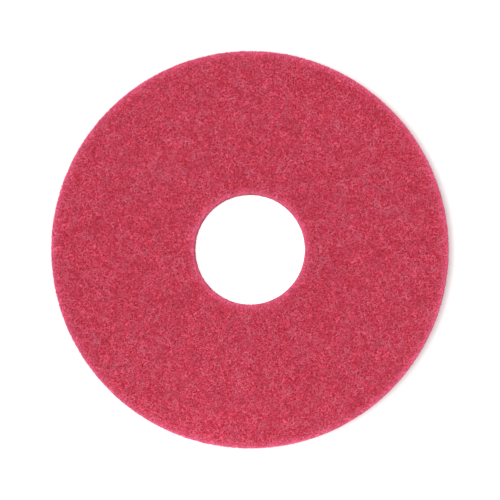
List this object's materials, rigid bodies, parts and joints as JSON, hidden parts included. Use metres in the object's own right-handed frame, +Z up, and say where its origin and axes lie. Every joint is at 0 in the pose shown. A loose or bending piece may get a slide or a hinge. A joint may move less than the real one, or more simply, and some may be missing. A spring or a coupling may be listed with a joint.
{
  "type": "floor pad",
  "caption": "Thick round non-woven floor pad with a centre hole, for the driver plate of a rotary floor machine.",
  "frame": {"origin": "centre of the pad on its lower face, which lies on the floor", "axes": "+Z up along the pad's axis, from the face on the floor to the face that the driver plate grips; X and Y are any two directions across the round pad"},
  "size_m": [0.3048, 0.3048, 0.0254],
  "materials": {
    "red_web": "open non-woven web of resin-bonded fibre, matte"
  },
  "bodies": {
    "root": {"floor_pad": "red_web"}
  },
  "joints": []
}
